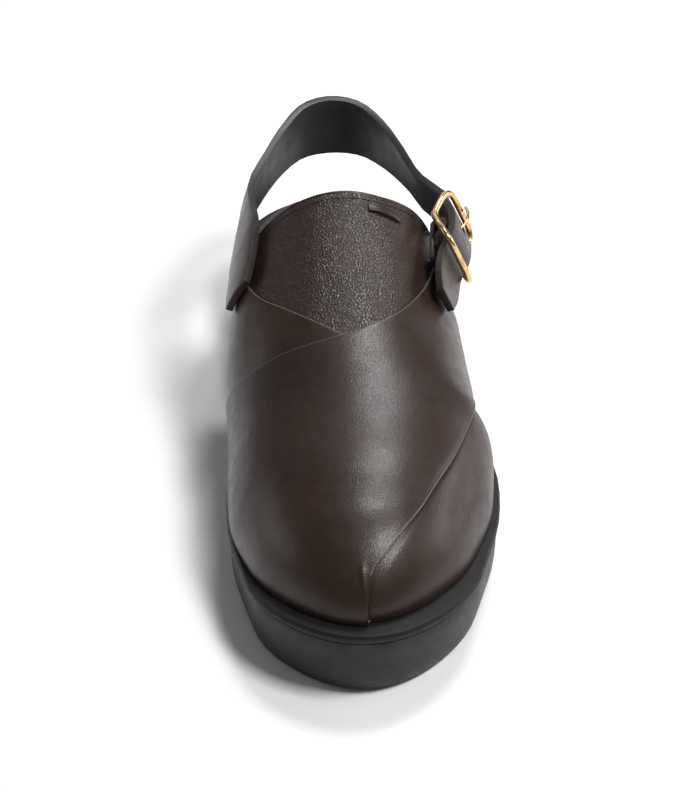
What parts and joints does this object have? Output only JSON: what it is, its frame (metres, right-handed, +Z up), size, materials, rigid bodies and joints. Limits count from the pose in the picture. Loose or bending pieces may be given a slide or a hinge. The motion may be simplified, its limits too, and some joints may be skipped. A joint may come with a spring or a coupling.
{
  "type": "leather closed-toe sandal",
  "caption": "Brown leather peshawari chappal, left shoe, with crossing bands, a heel strap with a saddle buckle and a thick ribbed rubber sole.",
  "frame": {"origin": "on the floor, under the heel's flat tread, on the shoe's middle line", "axes": "+Z up, -Y towards the toe, +X towards the outer (lateral) side"},
  "size_m": [0.1097, 0.295, 0.0992],
  "materials": {
    "sole_rubber": "matte moulded",
    "welt_rubber": "satin edge, matte top",
    "lining_leather": "smooth, matte",
    "grained_leather": "pebbled, satin",
    "smooth_leather": "smooth, polished satin",
    "buckle_metal": "polished gold plate"
  },
  "bodies": {
    "root": {"outsole": "sole_rubber", "welt": "welt_rubber", "insole": "lining_leather", "upper": "grained_leather", "inner_band": "smooth_leather", "outer_band": "smooth_leather", "heel_strap": "smooth_leather", "buckle_tab": "smooth_leather", "buckle_frame": "buckle_metal", "buckle_prong": "buckle_metal", "instep_loop": "smooth_leather"}
  },
  "joints": []
}
